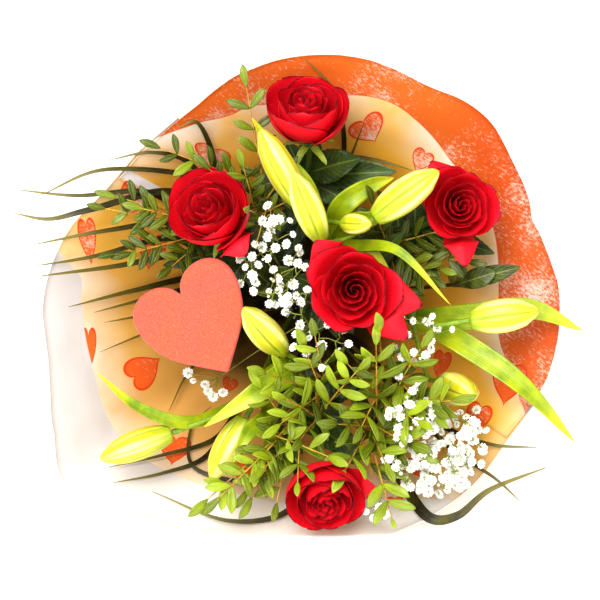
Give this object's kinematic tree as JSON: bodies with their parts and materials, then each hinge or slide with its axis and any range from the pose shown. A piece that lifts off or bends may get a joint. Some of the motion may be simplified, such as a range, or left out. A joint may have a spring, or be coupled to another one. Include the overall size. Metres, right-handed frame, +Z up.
{
  "type": "flower bouquet",
  "caption": "Wrapped hand-tied bouquet lying on its side: red roses, lily buds, gypsophila, leafy sprays, grass and a felt heart on a stick in a printed paper cone.",
  "frame": {"origin": "on the surface that the bouquet lies on, under the middle of its box", "axes": "+Z up from the surface, -Y towards the bouquet's mouth, +X to the right as seen from its mouth"},
  "size_m": [0.4848, 0.5396, 0.3807],
  "materials": {
    "orange_paper": "matte wrapping paper: brushed orange edge, golden kraft middle, printed hearts",
    "white_paper": "matte wrapping paper: white edge, golden kraft middle, printed hearts",
    "jute": "twisted jute cord",
    "felt": "matte pressed felt, salmon",
    "wood": "plain thin wooden stick",
    "rose_petal": "living rose petal: velvety crimson",
    "lily_bud": "living lily bud: waxy yellow-green with pale ribs",
    "rose_green": "living rose stem, sepals and leaves",
    "lily_green": "living lily stem and leaves, soft sheen",
    "grass": "dry olive-brown grass blade",
    "spray_green": "living small leaflets, light green",
    "blossom": "living small white blossoms",
    "broad_green": "living broad leaves, olive with a yellow midrib"
  },
  "bodies": {
    "root": {"paper_orange_edge": "orange_paper", "paper_white_edge": "white_paper", "tie_cord": "jute", "heart": "felt", "heart_stick": "wood", "rose_1": "rose_petal", "rose_2": "rose_petal", "rose_3": "rose_petal", "rose_4": "rose_petal", "rose_5": "rose_petal", "lily_bud_1": "lily_bud", "lily_bud_2": "lily_bud", "lily_bud_3": "lily_bud", "lily_bud_4": "lily_bud", "lily_bud_5": "lily_bud", "lily_bud_6": "lily_bud", "lily_bud_7": "lily_bud", "lily_bud_8": "lily_bud", "lily_bud_9": "lily_bud", "rose_stem_1": "rose_green", "rose_stem_2": "rose_green", "rose_stem_3": "rose_green", "rose_stem_4": "rose_green", "rose_stem_5": "rose_green", "lily_stem_1": "lily_green", "lily_stem_2": "lily_green", "lily_stem_3": "lily_green", "grass_1": "grass", "grass_2": "grass", "grass_3": "grass", "grass_4": "grass", "grass_5": "grass", "spray_1": "spray_green", "spray_2": "spray_green", "spray_3": "spray_green", "spray_4": "spray_green", "spray_5": "spray_green", "spray_6": "spray_green", "spray_7": "spray_green", "gypsophila_1": "blossom", "gypsophila_2": "blossom", "gypsophila_3": "blossom", "gypsophila_4": "blossom", "broadleaf_1": "broad_green", "broadleaf_2": "broad_green"}
  },
  "joints": []
}
